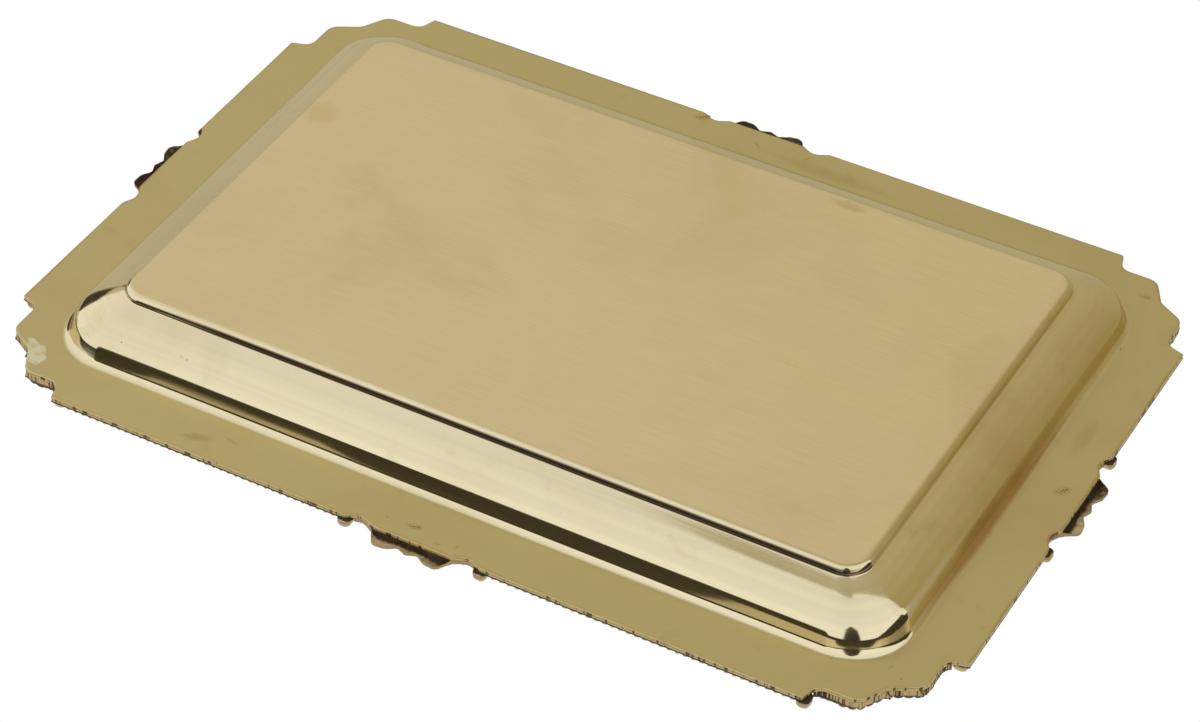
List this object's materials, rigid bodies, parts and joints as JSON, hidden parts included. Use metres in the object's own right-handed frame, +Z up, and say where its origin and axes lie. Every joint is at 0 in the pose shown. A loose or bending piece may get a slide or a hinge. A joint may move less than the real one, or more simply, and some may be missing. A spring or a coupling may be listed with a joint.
{
  "type": "coin tray",
  "caption": "Shallow rectangular brass tray with a stepped base, sloping shoulder, flat flange, shaped rim, shell corner ornaments and ribbed borders, for coins, cards or keys.",
  "frame": {"origin": "middle of the flat underside of the base panel, on the surface that the tray stands on", "axes": "+X along the long side, +Y along the short side to the back, +Z up out of the open well"},
  "size_m": [0.2466, 0.1726, 0.0172],
  "materials": {
    "sheet": "satin, with a polished shoulder",
    "casting": "cast, dark in the hollows and worn bright on the edges",
    "border": "cast ribs, worn satin"
  },
  "bodies": {
    "root": {"tray_sheet": "sheet", "corner_casting_front_left": "casting", "corner_casting_front_right": "casting", "corner_casting_back_left": "casting", "corner_casting_back_right": "casting", "side_ornament_front": "casting", "side_ornament_back": "casting", "side_ornament_left": "casting", "side_ornament_right": "casting", "border_front_left": "border", "border_front_right": "border", "border_back_left": "border", "border_back_right": "border", "border_left_front": "border", "border_left_back": "border", "border_right_front": "border", "border_right_back": "border"}
  },
  "joints": []
}
